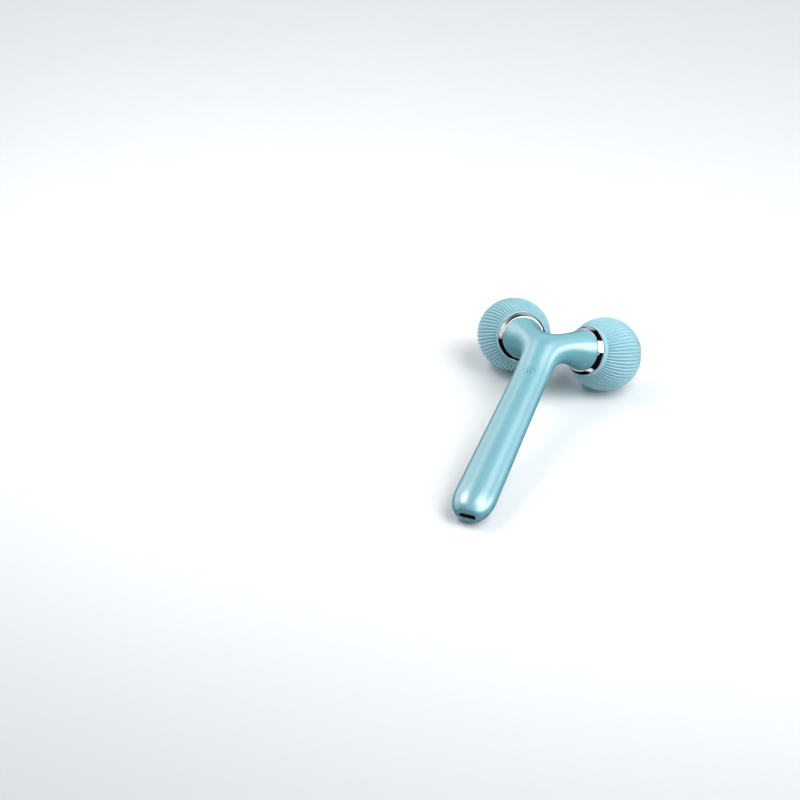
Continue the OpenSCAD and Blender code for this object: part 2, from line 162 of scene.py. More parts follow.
def branch_field(q, side, handle):
    """Distance from one arm's sweep, which starts as the handle itself and turns off towards its ball."""
    c = arm_curve(side)
    ts = np.linspace(0, 1, 65)
    pts = curve_at(c, ts)
    run = np.r_[0, np.cumsum(np.linalg.norm(np.diff(pts, axis=0), axis=1))]
    best = np.empty(len(q), int)
    for i in range(0, len(q), 200000):
        part = q[i:i + 200000]
        best[i:i + 200000] = ((pts ** 2).sum(1)[None] - 2 * part @ pts.T).argmin(1)
    t = ts[best]
    for _ in range(2):
        w = q - curve_at(c, t)
        d = slope_at(c, t)
        t = np.clip(t + (w * d).sum(1) / (d * d).sum(1), 0, 1)
    tangent = unit(slope_at(c, t))
    w = q - curve_at(c, t)
    w = w - (w * tangent).sum(1, keepdims=True) * tangent
    normal = unit(np.array([0, 0, 1.0]) - tangent[:, 2:3] * tangent)
    across = np.cross(tangent, normal)
    share = np.interp(t, ts, run) / run[-1]
    start = half_width(FORK_S)
    wide = start + (ARM_NARROW - start) * smooth(share / NARROW_BY)
    wide = wide + (ARM_R - ARM_NARROW) * smooth((share - FLARE_FROM) / (1 - FLARE_FROM)) ** FLARE_POWER
    height = (w * normal).sum(1)
    flat = np.where(height > 0, FRONT_SHARE, BACK_SHARE)
    high = wide * (flat + (1 - flat) * smooth(share / ROUND_BY))
    f = ellipse_field((w * across).sum(1), height, wide, high)
    return np.where(-q[:, 1] >= FORK_S, handle, f)


def body_field(q):
    handle = handle_field(q)
    f = blend_min(branch_field(q, "left", handle), branch_field(q, "right", handle), BLEND)
    f = f + BLEND / 4 * smooth((-q[:, 1] - FORK_S + BLEND_FADE) / BLEND_FADE)
    return blend_max(f, -q[:, 1] - HANDLE_LEN, 1.0)


def gradient(field, q, eps=0.02):
    g = np.empty_like(q)
    for k in range(3):
        d = np.zeros(3)
        d[k] = eps
        g[:, k] = (field(q + d) - field(q - d)) / (2 * eps)
    return g


def settle(field, q, rounds=3):
    for _ in range(rounds):
        g = gradient(field, q)
        m = np.maximum((g * g).sum(1), 0.05)
        q = q - np.clip(field(q) / m, -0.4, 0.4)[:, None] * g
    return q


# ---------------------------------------------------------------- meshing a field
def field_mesh(field, low, high, step):
    """A closed quad mesh of field = 0, one vertex for each cell that the surface crosses."""
    n = [int(round((high[k] - low[k]) / step)) + 1 for k in range(3)]
    grid = [low[k] + step * np.arange(n[k]) for k in range(3)]
    f = np.empty(n)
    for i in range(n[0]):
        y, z = np.meshgrid(grid[1], grid[2], indexing="ij")
        q = np.stack([np.full(y.size, grid[0][i]), y.ravel(), z.ravel()], 1)
        f[i] = field(q).reshape(n[1], n[2])
    inside = f < 0
    corners = [(a, b, c) for a in (0, 1) for b in (0, 1) for c in (0, 1)]

    def at(arr, o):
        return arr[o[0]:n[0] - 1 + o[0], o[1]:n[1] - 1 + o[1], o[2]:n[2] - 1 + o[2]]

    count = sum(at(inside, o).astype(np.int8) for o in corners)
    cells = np.argwhere((count > 0) & (count < 8))
    index = np.full((n[0] - 1, n[1] - 1, n[2] - 1), -1)
    index[tuple(cells.T)] = np.arange(len(cells))
    total = np.zeros((len(cells), 3))
    hits = np.zeros(len(cells))
    for a in corners:
        for axis in range(3):
            if a[axis]:
                continue
            b = list(a)
            b[axis] = 1
            fa = f[tuple((cells + a).T)]
            fb = f[tuple((cells + b).T)]
            cross = (fa < 0) != (fb < 0)
            t = np.where(cross, fa / np.where(cross, fa - fb, 1), 0)
            p = np.array(a, float)[None] + t[:, None] * (np.array(b) - np.array(a))
            total[cross] += p[cross]
            hits += cross
    verts = np.array(low) + step * (cells + total / hits[:, None])
    quads = []
    for axis in range(3):
        u, v = (axis + 1) % 3, (axis + 2) % 3
        sl = [slice(None)] * 3
        sl[axis] = slice(0, n[axis] - 1)
        nxt = list(sl)
        nxt[axis] = slice(1, n[axis])
        flips = inside[tuple(sl)] != inside[tuple(nxt)]
        e = np.argwhere(flips)
        keep = (e[:, u] > 0) & (e[:, v] > 0) & (e[:, u] < n[u] - 1) & (e[:, v] < n[v] - 1)
        e = e[keep]
        out = inside[tuple(e.T)]
        du, dv = np.zeros(3, int), np.zeros(3, int)
        du[u], dv[v] = 1, 1
        ring = [index[tuple((e - d).T)] for d in (du + dv, dv, 0 * du, du)]
        quad = np.stack(ring, 1)
        quad[~out] = quad[~out][:, ::-1]
        quads.append(quad)
    quads = np.concatenate(quads)
    tris = np.concatenate([quads[:, [0, 1, 2]], quads[:, [0, 2, 3]]])
    return verts, tris


def cut(verts, tris, value, field):
    """Cuts a mesh along value = 0. Returns the vertices and the triangles below 0 and above it."""
    f = value(verts)
    g = gradient(value, verts)
    nrm = unit(gradient(field, verts))
    g = g - (g * nrm).sum(1, keepdims=True) * nrm
    m = (g * g).sum(1)
    near = (np.abs(f) < 0.3 * STEP * np.sqrt(m)) & (m > 0.01)
    moved = verts[near]
    for _ in range(3):
        gg = gradient(value, moved)
        nn = unit(gradient(field, moved))
        gg = gg - (gg * nn).sum(1, keepdims=True) * nn
        moved = moved - (value(moved) / np.maximum((gg * gg).sum(1), 1e-6))[:, None] * gg
        moved = settle(field, moved, 1)
    verts = verts.copy()
    verts[near] = moved
    f[near] = 0
    ft = f[tris]
    below = (ft <= 0).all(1) & (ft < 0).any(1)
    above = (ft >= 0).all(1) & (ft > 0).any(1)
    flat = (ft == 0).all(1)
    centre = verts[tris[flat]].mean(1)
    vc = value(centre)
    low, high = [tris[below]], [tris[above]]
    low.append(tris[flat][vc < 0])
    high.append(tris[flat][vc >= 0])
    extra, made = [], {}

    def between(a, b):
        key = (min(a, b), max(a, b))
        if key not in made:
            t = f[key[0]] / (f[key[0]] - f[key[1]])
            made[key] = len(verts) + len(extra)
            extra.append(verts[key[0]] * (1 - t) + verts[key[1]] * t)
        return made[key]

    for tri in tris[~(below | above | flat)]:
        parts = {-1: [], 1: []}
        for k in range(3):
            a, b = int(tri[k]), int(tri[(k + 1) % 3])
            sa, sb = np.sign(f[a]), np.sign(f[b])
            for s in (-1, 1):
                if sa == s or sa == 0:
                    parts[s].append(a)
            if sa * sb < 0:
                x = between(a, b)
                parts[-1].append(x)
                parts[1].append(x)
        for s, bag in ((-1, low), (1, high)):
            p = parts[s]
            for k in range(1, len(p) - 1):
                bag.append(np.array([[p[0], p[k], p[k + 1]]]))
    if extra:
        extra = settle(field, np.array(extra), 2)
        verts = np.concatenate([verts, extra])
    return verts, np.concatenate(low), np.concatenate(high)


def only_used(verts, tris):
    """The vertices that the triangles use, and the triangles renumbered to match."""
    used = np.unique(tris)
    back = np.full(len(verts), -1)
    back[used] = np.arange(len(used))
    return verts[used], back[tris]


def open_edges(tris):
    """The edges that only one triangle has, in that triangle's direction."""
    e = np.concatenate([tris[:, [0, 1]], tris[:, [1, 2]], tris[:, [2, 0]]])
    key = np.sort(e, 1)
    _, inv, cnt = np.unique(key, axis=0, return_inverse=True, return_counts=True)
    return e[cnt[inv.ravel()] == 1]


# ---------------------------------------------------------------- making objects
def new_object(name, verts, faces, normals=None):
    mesh = bpy.data.meshes.new(name)
    mesh.from_pydata([tuple(v) for v in verts], [], [tuple(int(i) for i in f) for f in faces])
    mesh.validate(verbose=False)
    mesh.shade_smooth()
    if normals is not None and len(normals) == len(mesh.loops):
        mesh.normals_split_custom_set([tuple(n) for n in normals])
    obj = bpy.data.objects.new(name, mesh)
    bpy.context.scene.collection.objects.link(obj)
    return obj


def shell_object(name, verts, tris):
    """A thick shell from its outer surface, with its edge pulled in a little along the parting line."""
    verts, tris = only_used(verts, tris)
    n = unit(gradient(body_field, verts))
    rim = open_edges(tris)
    edge = np.unique(rim)
    seam = edge[np.abs(parting(verts[edge])) < 0.02]
    outer = verts.copy()
    outer[seam] -= SEAM_GROOVE * n[seam]
    inner = verts - WALL * n
    m = len(verts)
    rim_faces = np.concatenate([np.stack([rim[:, 1], rim[:, 0], rim[:, 0] + m], 1),
                                np.stack([rim[:, 1], rim[:, 0] + m, rim[:, 1] + m], 1)])
    faces = np.concatenate([tris, tris[:, ::-1] + m, rim_faces])
    allv = np.concatenate([outer, inner])
    loops_n = np.concatenate([n[tris].reshape(-1, 3), -n[tris[:, ::-1]].reshape(-1, 3)])
    a, b, c = (allv[rim_faces[:, k]] for k in range(3))
    flat = unit(np.cross(b - a, c - a))
    loops_n = np.concatenate([loops_n, np.repeat(flat, 3, axis=0)])
    return new_object(name, to_row(allv), faces, dir_to_row(loops_n))


def joined_rings(loops):
    """Vertices and faces through rings of equally many points, with the last ring joined to the first."""
    n = len(loops[0])
    faces = []
    for k in range(len(loops)):
        a, b = k * n, ((k + 1) % len(loops)) * n
        for j in range(n):
            i = (j + 1) % n
            faces.append((a + j, a + i, b + i, b + j))
    return np.concatenate(loops), faces


def smooth_by_angle(obj, degrees):
    """Smooth shading with sharp edges where faces meet at more than the given angle."""
    mesh = obj.data
    mesh.shade_smooth()
    bm = bmesh.new()
    bm.from_mesh(mesh)
    limit = math.radians(degrees)
    for e in bm.edges:
        e.smooth = len(e.link_faces) == 2 and e.calc_face_angle(0) < limit
    bm.normal_update()
    bm.to_mesh(mesh)
    bm.free()


def outward(obj, sharp_above=40):
    """Turns all faces outwards, then shades the object smooth below the given angle."""
    bm = bmesh.new()
    bm.from_mesh(obj.data)
    bmesh.ops.recalc_face_normals(bm, faces=bm.faces)
    bm.to_mesh(obj.data)
    bm.free()
    smooth_by_angle(obj, sharp_above)


# ---------------------------------------------------------------- materials
def material(name, colour, roughness, metallic=0.0, tint=0.04, tint_scale=40.0, grain=0.0,
             grain_scale=3000.0, spread=0.05, coat=0.0, coat_roughness=0.1, coat_ior=1.5, specular=0.5,
             sheen=0.0):
    """Base colour varied by a soft noise, roughness varied by a finer one, and an optional fine bump."""
    mat = bpy.data.materials.new(name)
    mat.use_nodes = True
    nt = mat.node_tree
    bsdf = nt.nodes["Principled BSDF"]
    bsdf.inputs["Metallic"].default_value = metallic
    bsdf.inputs["Coat Weight"].default_value = coat
    bsdf.inputs["Coat Roughness"].default_value = coat_roughness
    bsdf.inputs["Coat IOR"].default_value = coat_ior
    bsdf.inputs["Specular IOR Level"].default_value = specular
    bsdf.inputs["Sheen Weight"].default_value = sheen
    coord = nt.nodes.new("ShaderNodeTexCoord")

    def noise(scale, detail):
        node = nt.nodes.new("ShaderNodeTexNoise")
        node.inputs["Scale"].default_value = scale
        node.inputs["Detail"].default_value = detail
        nt.links.new(coord.outputs["Object"], node.inputs["Vector"])
        return node

    def ramp(source, low, high):
        node = nt.nodes.new("ShaderNodeMapRange")
        node.inputs["From Min"].default_value = 0.3
        node.inputs["From Max"].default_value = 0.7
        node.inputs["To Min"].default_value = low
        node.inputs["To Max"].default_value = high
        nt.links.new(source, node.inputs["Value"])
        return node.outputs["Result"]

    broad = noise(tint_scale, 3)
    mix = nt.nodes.new("ShaderNodeMix")
    mix.data_type = "RGBA"
    mix.inputs[6].default_value = tuple(c * (1 - tint) for c in colour) + (1,)
    mix.inputs[7].default_value = tuple(min(1, c * (1 + tint)) for c in colour) + (1,)
    nt.links.new(ramp(broad.outputs["Fac"], 0, 1), mix.inputs[0])
    nt.links.new(mix.outputs[2], bsdf.inputs["Base Color"])
    fine = noise(tint_scale * 8, 5)
    rough = ramp(fine.outputs["Fac"], max(0.02, roughness - spread), min(1, roughness + spread))
    nt.links.new(rough, bsdf.inputs["Roughness"])
    if grain > 0:
        tex = noise(grain_scale, 2)
        bump = nt.nodes.new("ShaderNodeBump")
        bump.inputs["Strength"].default_value = 0.6
        bump.inputs["Distance"].default_value = grain * MM
        nt.links.new(tex.outputs["Fac"], bump.inputs["Height"])
        nt.links.new(bump.outputs["Normal"], bsdf.inputs["Normal"])
    return mat


mats = {
    "shell_plastic": material("satin_teal_plastic", (0.118, 0.350, 0.415), 0.36, tint=0.025, tint_scale=60,
                              grain=0.004, grain_scale=2500, spread=0.03, coat=1.0, coat_roughness=0.30,
                              coat_ior=2.0, specular=1.0),
    "roller_skin": material("matte_teal_silicone", (0.25, 0.455, 0.52), 0.50, tint=0.04, tint_scale=90,
                            grain=0.012, grain_scale=2200, spread=0.06, specular=0.4, sheen=0.15),
    "chrome_plate": material("polished_chrome", (0.90, 0.91, 0.92), 0.06, metallic=1.0, tint=0.01,
                             tint_scale=120, spread=0.02),
    "steel": material("turned_steel", (0.58, 0.59, 0.60), 0.28, metallic=1.0, tint=0.05, tint_scale=300,
                      grain=0.01, grain_scale=4000),
    "white_plastic": material("white_moulded_plastic", (0.80, 0.81, 0.80), 0.45, tint=0.02, grain=0.01),
    "black_plastic": material("black_moulded_plastic", (0.030, 0.031, 0.034), 0.42, tint=0.15,
                              grain=0.01),
    "board": material("green_solder_mask", (0.03, 0.17, 0.07), 0.30, tint=0.12, tint_scale=400,
                      coat=0.3),
    "black_rubber": material("black_rubber", (0.022, 0.022, 0.024), 0.65, tint=0.2, grain=0.02),
    "cell_wrap": material("blue_cell_wrap", (0.06, 0.16, 0.42), 0.25, tint=0.08, tint_scale=150,
                          coat=0.4),
    "brass": material("turned_brass", (0.72, 0.50, 0.20), 0.25, metallic=1.0, tint=0.06, tint_scale=300),
    "lead_wire": material("red_wire_sheath", (0.55, 0.04, 0.03), 0.4, tint=0.08, tint_scale=300),
}
mark_mat = material("power_mark_ink", (0.02, 0.12, 0.15), 0.45, tint=0.08, tint_scale=400,
                    grain=0.004)
contact_mat = material("gold_contacts", (0.85, 0.62, 0.25), 0.22, metallic=1.0, tint=0.04,
                       tint_scale=600)


def dress(obj, mat):
    """Gives the object one material, in place of any it has."""
    obj.data.materials.clear()
    obj.data.materials.append(mat)
    return obj


slots = {part["node"]: part["material_slot"] for part in frame["record"]["subparts"]}
for name, obj in frame["nodes"].items():
    dress(obj, mats[slots[name]])

# ---------------------------------------------------------------- body shells
line_t = np.linspace(0, 1, 33)
line = curve_at(arm_curve("right"), line_t)[:, 1:]
line = np.concatenate([[[-300.0, 0.0]], line, [line[-1] + 60 * (line[-1] - line[-2])]])


def parting(q):
    """Height over the parting line, which runs down the middle of the handle and then of the arms."""
    return q[:, 2] - np.interp(q[:, 1], line[:, 0], line[:, 1])


def ring_plane(side):
    return lambda q: (q - ball_h[side]) @ pole_h[side] - RING_BASE


def rounded_bar(x, z, half_w, half_h):
    dx = np.maximum(np.abs(x) - (half_w - half_h), 0)
    return np.sqrt(dx ** 2 + z ** 2 + 1e-12) - half_h


def port_hole(q):
    f = rounded_bar(q[:, 0], q[:, 2] - PORT_Z, BEZEL_W, BEZEL_H)
    return np.where(q[:, 1] < -(HANDLE_LEN - 3), f, np.maximum(f, 1.0))


def button_hole(q):
    f = np.hypot(q[:, 0], q[:, 1] + BUTTON_S) - (BUTTON_R + BUTTON_GAP)
    return np.where(q[:, 2] > 0, f, np.maximum(f, 1.0))


verts, tris = field_mesh(body_field, MESH_LOW, MESH_HIGH, STEP)
verts = settle(body_field, verts)
for side in ("left", "right"):
    verts, tris, _ = cut(verts, tris, ring_plane(side), body_field)
verts, _, tris = cut(verts, tris, port_hole, body_field)
verts, rear_tris, front_tris = cut(verts, tris, parting, body_field)
front_verts, _, front_tris = cut(verts, front_tris, button_hole, body_field)

front = shell_object("front_shell_moulding", front_verts, front_tris)
rear = shell_object("rear_shell_moulding", verts, rear_tris)
for obj, node in ((front, "front_shell"), (rear, "rear_shell")):
    dress(obj, mats["shell_plastic"])
    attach(obj, "handle")
    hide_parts(node)


# ---------------------------------------------------------------- power button
def skin_height(x, y):
    """Height of the body's top surface over a point of the handle plane."""
    q = np.stack([x, y, np.full_like(x, 6.0)], 1)
    for _ in range(12):
        e = np.array([0, 0, 0.01])
        slope = (body_field(q + e) - body_field(q - e)) / 0.02
        q[:, 2] -= np.clip(body_field(q) / np.where(np.abs(slope) < 0.2, 0.2, slope), -1, 1)
    return q[:, 2]


def button_disc(name, radius, rings, turns, top, depth, round_r):
    """A disc whose top follows the handle's skin, with a rounded edge and a flat underside."""
    rr = np.concatenate([np.linspace(0, radius - round_r, rings)[1:],
                         radius - round_r + round_r * np.sin(np.linspace(0, math.pi / 2, 6))[1:]])
    drop = np.concatenate([np.zeros(rings - 1), round_r * (1 - np.cos(np.linspace(0, math.pi / 2, 6)))[1:]])
    th = np.arange(turns) * 2 * math.pi / turns
    x = (rr[:, None] * np.cos(th)).ravel()
    y = (rr[:, None] * np.sin(th)).ravel() - BUTTON_S
    z = skin_height(x, y) + top - np.repeat(drop, turns)
    centre_z = skin_height(np.array([0.0]), np.array([-BUTTON_S]))[0] + top
    v = [np.array([[0, -BUTTON_S, centre_z]]), np.stack([x, y, z], 1)]
    base = np.stack([radius * np.cos(th), radius * np.sin(th) - BUTTON_S, np.full(turns, depth)], 1)
    v += [base, np.array([[0, -BUTTON_S, depth]])]
    v = np.concatenate(v)
    faces = [(0, 1 + j, 1 + (j + 1) % turns) for j in range(turns)]
    total = len(rr) + 1
    for k in range(total - 1):
        for j in range(turns):
            i = (j + 1) % turns
            inner, outer = 1 + k * turns, 1 + (k + 1) * turns
            faces.append((inner + j, outer + j, outer + i, inner + i))
    tail = 1 + (total - 1) * turns
    faces += [(len(v) - 1, tail + (j + 1) % turns, tail + j) for j in range(turns)]
    obj = new_object(name, to_row(v), faces)
    smooth_by_angle(obj, 50)
    return obj


cap = button_disc("power_button_cap", BUTTON_R, 26, 96, 0.0, 2.4, 0.22)
dress(cap, mats["shell_plastic"])
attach(cap, "power_button")
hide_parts("button_cap")


def mark_ribbon(name, paths, half_w, lift):
    """Thin strips that lie on the button's top and follow the given paths of (x, y) points."""
    verts, faces = [], []
    for path in paths:
        p = np.array(path, float)
        d = unit(np.gradient(p, axis=0))
        nrm = np.stack([-d[:, 1], d[:, 0]], 1)
        rows = []
        for off, h in ((-1, 0.0), (-0.8, lift), (0, lift), (0.8, lift), (1, 0.0)):
            c = p + nrm * half_w * off
            z = skin_height(c[:, 0], c[:, 1] - BUTTON_S) + h - (0.03 if h == 0 else 0)
            rows.append(np.stack([c[:, 0], c[:, 1] - BUTTON_S, z], 1))
        low = [r - [0, 0, 0.12] for r in (rows[-1], rows[0])]
        grid = np.stack(rows + low, 1)
        n, m = grid.shape[:2]
        base = sum(len(v) for v in verts)
        verts.append(grid.reshape(-1, 3))
        for i in range(n - 1):
            for j in range(m):
                k = (j + 1) % m
                here, there = base + i * m, base + (i + 1) * m
                faces.append((here + j, here + k, there + k, there + j))
        faces.append(tuple(base + j for j in range(m))[::-1])
        faces.append(tuple(base + (n - 1) * m + j for j in range(m)))
    obj = new_object(name, to_row(np.concatenate(verts)), faces)
    outward(obj)
    return obj


MARK_R = 1.3
gap = math.radians(38)
arc = [(MARK_R * math.sin(a), MARK_R * math.cos(a)) for a in np.linspace(gap, 2 * math.pi - gap, 60)]
bar = [(0, y) for y in np.linspace(0.25, 1.75, 12)]
mark = mark_ribbon("power_mark", [arc, bar], 0.21, 0.012)
dress(mark, mark_mat)
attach(mark, "power_button")


# ---------------------------------------------------------------- charging port
def bar_loop(half_w, half_h, s, n=96):
    a = np.arange(n) * 2 * math.pi / n
    x = half_h * np.cos(a)
    x = x + np.where(np.cos(a) > 1e-9, half_w - half_h, np.where(np.cos(a) < -1e-9, -(half_w - half_h), 0))
    return np.stack([x, np.full(n, -s), half_h * np.sin(a) + PORT_Z], 1)


def bezel():
    """The port's surround: round outer edge, flat face, mouth rounded inwards."""
    outer_w, outer_h = BEZEL_W - BEZEL_ROUND, BEZEL_H - BEZEL_ROUND
    rim = HANDLE_LEN - BEZEL_ROUND
    quarter = np.linspace(0, math.pi / 2, 5)
    loops = [bar_loop(BEZEL_W, BEZEL_H, HANDLE_LEN - BEZEL_T)]
    for a in quarter:
        out, rise = BEZEL_ROUND * math.cos(a), BEZEL_ROUND * math.sin(a)
        loops.append(bar_loop(outer_w + out, outer_h + out, rim + rise))
    loops.append(bar_loop(MOUTH_W + MOUTH_ROUND, MOUTH_H + MOUTH_ROUND, HANDLE_LEN))
    for a in quarter:
        out, drop = MOUTH_ROUND * (1 - math.sin(a)), MOUTH_ROUND * (1 - math.cos(a))
        loops.append(bar_loop(MOUTH_W + out, MOUTH_H + out, HANDLE_LEN - drop))
    loops.append(bar_loop(MOUTH_W, MOUTH_H, HANDLE_LEN - BEZEL_T))
    v, f = joined_rings(loops)
    obj = new_object("port_bezel_moulding", to_row(v), f)
    outward(obj)
    return obj


port = bezel()
dress(port, mats["shell_plastic"])
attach(port, "handle")
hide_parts("port_bezel")


def contacts():
    """Two rows of flat contacts on the tongue."""
    verts, faces = [], []
    for side in (-1, 1):
        z = PORT_Z + side * PIN_ROW_Z
        for k in range(PINS_PER_ROW):
            x = (k - (PINS_PER_ROW - 1) / 2) * PIN_PITCH
            b = len(verts)
            for dz in (-PIN_THICK_HALF, PIN_THICK_HALF):
                for dx, s in ((-1, PIN_FROM), (1, PIN_FROM), (1, PIN_TO), (-1, PIN_TO)):
                    verts.append((x + PIN_HALF * dx, -s, z + dz))
            faces += [(b, b + 1, b + 2, b + 3), (b + 7, b + 6, b + 5, b + 4)]
            faces += [(b + m, b + 4 + m, b + 4 + (m + 1) % 4, b + (m + 1) % 4) for m in range(4)]
    obj = new_object("socket_contacts", to_row(np.array(verts)), faces)
    outward(obj)
    return obj


pins = contacts()
dress(pins, contact_mat)
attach(pins, "handle")


# ---------------------------------------------------------------- pieces round each axle
def axle_frame(side):
    """Rows: two directions across the ball's axle, then the axle itself."""
    z = pole[side]
    x = unit(np.cross([0, 0, 1.0], z))
    return np.stack([x, np.cross(z, x), z])


def lathe(name, side, profile, turns=256):
    """A closed profile of (radius, height) turned round one ball's axle."""
    a = np.arange(turns) * 2 * math.pi / turns
    loops = [np.stack([r * np.cos(a), r * np.sin(a), np.full(turns, z)], 1) for r, z in profile]
    v, f = joined_rings(loops)
    v = (v @ axle_frame(side) + ball[side]) * MM
    obj = new_object(name, v, f)
    outward(obj, 25)
    return obj


def arc_points(centre, radius, start, end, n):
    return [(centre[0] + radius * math.cos(math.radians(a)), centre[1] + radius * math.sin(math.radians(a)))
            for a in np.linspace(start, end, n)]


RING_BALL_R = 13.2                              # the ring's radius at its ball side
EDGE_R = 11.66                                  # and at its arm side
RING_BORE, RING_SPIGOT, RING_SPIGOT_LEN = 7.0, 8.4, 2.6
RING_FLARE, RING_FLARE_LEN = 1.34, 2.7
RING_EDGE, RING_LIP = 0.06, 0.2
ring_profile = [(RING_BORE, RING_BASE - RING_SPIGOT_LEN), (RING_SPIGOT, RING_BASE - RING_SPIGOT_LEN),
                (RING_SPIGOT, RING_BASE), (EDGE_R - 0.66, RING_BASE), (EDGE_R - RING_EDGE, RING_BASE),
                (EDGE_R, RING_BASE + 0.05), (EDGE_R + RING_FLARE / 2, RING_BASE + 1.38),
                (EDGE_R + RING_FLARE, RING_BASE + RING_FLARE_LEN)]
ring_profile += arc_points((RING_BALL_R - RING_LIP, RING_TOP - RING_LIP), RING_LIP, -15, 90, 8)
ring_profile += [(RING_BORE, RING_TOP)]

BALL_R = 19.97
CORE_R = 17.5
RIBS, STEPS_PER_RIB = 60, 10
RIB_HEIGHT = 0.95
RIB_TWIST, TWIST_OVER = 21.0, 137               # degrees of turn, over these degrees from the pole
RIB_FROM, RIB_FULL = 5, 31                      # degrees from the pole where the ribs start and are full
RIB_FADE, RIB_END = 134, 143                    # and where they fade again
SKIN_END = 136.5                                # degrees from the pole where the skin turns in to its mouth
LIP_Z = RING_TOP + 0.3
LIP_R, LIP_ROUND = 13.4, 0.35
MOUTH_R, CORE_BORE = 11.4, 11.0                 # the mouth's inner edge, and the hollow behind it
CORE_Z = -13.7                                  # where that hollow meets the round core
SKIN_ROWS, MOUTH_ROWS, INNER_ROWS = 118, 8, 24


def ball_profile():
    """Rows of radius, height, share of the full rib height and turn in degrees, from the pole back inside."""
    rows = []
    for a in np.linspace(1.0, SKIN_END, SKIN_ROWS):
        fade = smooth(np.array((a - RIB_FROM) / (RIB_FULL - RIB_FROM)))
        fade = fade * smooth(np.array((RIB_END - a) / (RIB_END - RIB_FADE)))
        angle = math.radians(a)
        rows.append((BALL_R * math.sin(angle), BALL_R * math.cos(angle), float(fade), RIB_TWIST * a / TWIST_OVER))
    end = rows[-1]
    for t in np.linspace(0, 1, MOUTH_ROWS)[1:]:
        radius = end[0] + (LIP_R - end[0]) * t ** 0.8
        rows.append((radius, end[1] + (LIP_Z + LIP_ROUND - end[1]) * t, 0.0, RIB_TWIST))
    for a in (30, 60, 90):
        radius = LIP_R - LIP_ROUND + LIP_ROUND * math.cos(math.radians(a))
        height = LIP_Z + LIP_ROUND - LIP_ROUND * math.sin(math.radians(a))
        rows.append((radius, height, 0.0, RIB_TWIST))
    rows += [(MOUTH_R, LIP_Z, 0, RIB_TWIST), (CORE_BORE, LIP_Z + 0.3, 0, RIB_TWIST),
             (CORE_BORE, CORE_Z, 0, RIB_TWIST)]
    start = math.degrees(math.acos((CORE_Z + 0.08) / CORE_R))
    for a in np.linspace(start, 1.0, INNER_ROWS):
        angle = math.radians(a)
        rows.append((CORE_R * math.sin(angle), CORE_R * math.cos(angle), 0.0, RIB_TWIST))
    return rows


def ribbed_ball(name, side):
    """The silicone skin: its profile turned round the axle, with V-shaped grooves between the ribs."""
    n = RIBS * STEPS_PER_RIB
    phase = np.arange(n) * 2 * math.pi / STEPS_PER_RIB
    valley = 1 - np.abs(np.cos(phase / 2)) ** 0.75
    base = np.arange(n) * 2 * math.pi / n
    loops = []
    for r, z, share, turn in ball_profile():
        depth = RIB_HEIGHT * share * valley
        k = 1 - depth / BALL_R
        a = base + math.radians(turn)
        loops.append(np.stack([r * k * np.cos(a), r * k * np.sin(a), z * k], 1))
    v = np.concatenate(loops)
    total = len(loops)
    j = np.arange(n)
    i = (j + 1) % n
    faces = []
    for k in range(total - 1):
        a, b = k * n, (k + 1) * n
        faces.append(np.stack([a + j, b + j, b + i, a + i], 1))
    faces = [tuple(f) for f in np.concatenate(faces)]
    top, bottom = len(v), len(v) + 1
    v = np.concatenate([v, [[0, 0, BALL_R], [0, 0, CORE_R]]])
    faces += [(top, int(p), int(q)) for p, q in zip(j, i)]
    tail = (total - 1) * n
    faces += [(bottom, int(tail + q), int(tail + p)) for p, q in zip(j, i)]
    v = (v @ axle_frame(side) + ball[side]) * MM
    obj = new_object(name, v, faces)
    return obj


for side in ("left", "right"):
    ring = lathe(f"{side}_chrome_collar", side, ring_profile)
    dress(ring, mats["chrome_plate"])
    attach(ring, "handle")
    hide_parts(f"{side}_chrome_ring")
    skin = ribbed_ball(f"{side}_roller_skin", side)
    dress(skin, mats["roller_skin"])
    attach(skin, f"{side}_roller")
    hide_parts(f"{side}_ribbed_skin")

# ---------------------------------------------------------------- floor and light
scene = bpy.context.scene
bpy.ops.mesh.primitive_plane_add(size=6, location=(0, 0, 0))
floor = bpy.context.object
floor.name = "studio_floor"
dress(floor, material("studio_floor_paper", (0.74, 0.74, 0.745), 0.75, tint=0.01, tint_scale=3))
floor.visible_glossy = False
floor.visible_shadow = False                    # the bounce lights stand below it

world = bpy.data.worlds.new("studio")
scene.world = world
world.use_nodes = True
wt = world.node_tree
sky = wt.nodes["Background"]
sky.inputs["Color"].default_value = (0.90, 0.965, 1.0, 1)
ray = wt.nodes.new("ShaderNodeTexCoord")


def sky_math(kind, a, b):
    node = wt.nodes.new("ShaderNodeMath")
    node.operation = kind
    for k, v in enumerate((a, b)):
        if isinstance(v, (int, float)):
            node.inputs[k].default_value = v
        else:
            wt.links.new(v, node.inputs[k])
    return node.outputs[0]


def compass(azimuth, elevation):
    """Unit direction: azimuth 0 is towards the handle's end, 90 towards the right roller."""
    a, e = math.radians(azimuth), math.radians(elevation)
    return (math.sin(a) * math.cos(e), -math.cos(a) * math.cos(e), math.sin(e))


def glow(direction, inner, outer, strength):
    """A round soft-edged patch of sky."""
    dot = wt.nodes.new("ShaderNodeVectorMath")
    dot.operation = "DOT_PRODUCT"
    wt.links.new(ray.outputs["Generated"], dot.inputs[0])
    dot.inputs[1].default_value = direction
    step = wt.nodes.new("ShaderNodeMapRange")
    step.interpolation_type = "SMOOTHSTEP"
    step.inputs["From Min"].default_value = math.cos(math.radians(outer))
    step.inputs["From Max"].default_value = math.cos(math.radians(inner))
    step.inputs["To Max"].default_value = strength
    wt.links.new(dot.outputs["Value"], step.inputs["Value"])
    return step.outputs["Result"]


